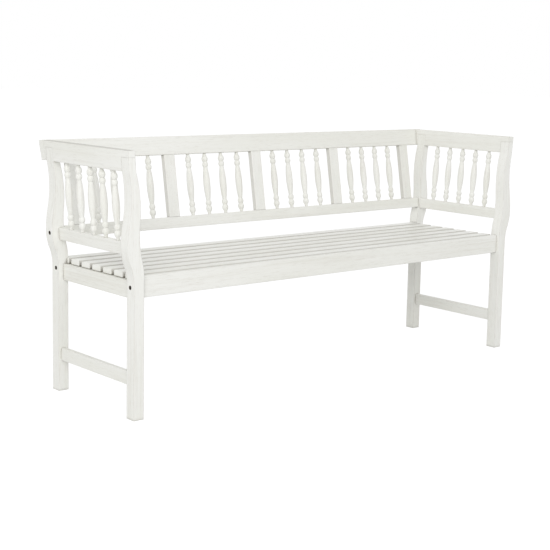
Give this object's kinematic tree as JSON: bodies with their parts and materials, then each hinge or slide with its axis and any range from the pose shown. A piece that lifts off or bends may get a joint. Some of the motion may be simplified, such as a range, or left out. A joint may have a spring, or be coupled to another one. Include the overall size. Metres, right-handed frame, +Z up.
{
  "type": "outdoor bench",
  "caption": "Whitewashed wooden garden bench with bowed posts, a slatted seat, and arm and back panels of turned spindles between flat rails.",
  "frame": {"origin": "middle of the bench's width and depth, on the floor", "axes": "+X along the bench to the right of someone who faces its front, +Y from front to back, +Z up"},
  "size_m": [1.7912, 0.5291, 0.8383],
  "materials": {
    "framing_wood": "whitewashed, matt, faint grain",
    "slat_wood": "whitewashed, matt, faint grain",
    "turned_wood": "whitewashed, matt, turned",
    "zinc_steel": "dull zinc"
  },
  "bodies": {
    "root": {"post_front_left": "framing_wood", "post_front_right": "framing_wood", "post_rear_left": "framing_wood", "post_rear_right": "framing_wood", "arm_top_rail_left": "framing_wood", "arm_top_rail_right": "framing_wood", "arm_lower_rail_left": "framing_wood", "arm_lower_rail_right": "framing_wood", "seat_side_rail_left": "framing_wood", "seat_side_rail_right": "framing_wood", "leg_stretcher_left": "framing_wood", "leg_stretcher_right": "framing_wood", "back_top_rail": "framing_wood", "back_lower_rail": "framing_wood", "seat_front_rail": "framing_wood", "seat_rear_rail": "framing_wood", "back_stile_1": "framing_wood", "back_stile_2": "framing_wood", "back_stile_3": "framing_wood", "back_stile_4": "framing_wood", "back_stile_5": "framing_wood", "seat_bearer_left": "framing_wood", "seat_bearer_centre": "framing_wood", "seat_bearer_right": "framing_wood", "seat_slat_1": "slat_wood", "seat_slat_2": "slat_wood", "seat_slat_3": "slat_wood", "seat_slat_4": "slat_wood", "seat_slat_5": "slat_wood", "seat_slat_6": "slat_wood", "seat_slat_7": "slat_wood", "back_spindle_1": "turned_wood", "back_spindle_2": "turned_wood", "back_spindle_3": "turned_wood", "back_spindle_4": "turned_wood", "back_spindle_5": "turned_wood", "back_spindle_6": "turned_wood", "back_spindle_7": "turned_wood", "back_spindle_8": "turned_wood", "back_spindle_9": "turned_wood", "back_spindle_10": "turned_wood", "back_spindle_11": "turned_wood", "back_spindle_12": "turned_wood", "back_spindle_13": "turned_wood", "back_spindle_14": "turned_wood", "back_spindle_15": "turned_wood", "back_spindle_16": "turned_wood", "arm_spindle_left_1": "turned_wood", "arm_spindle_left_2": "turned_wood", "arm_spindle_left_3": "turned_wood", "arm_spindle_left_4": "turned_wood", "arm_spindle_left_5": "turned_wood", "arm_spindle_right_1": "turned_wood", "arm_spindle_right_2": "turned_wood", "arm_spindle_right_3": "turned_wood", "arm_spindle_right_4": "turned_wood", "arm_spindle_right_5": "turned_wood", "connector_bolts": "zinc_steel", "barrel_nuts": "zinc_steel", "wood_screws": "zinc_steel"}
  },
  "joints": []
}
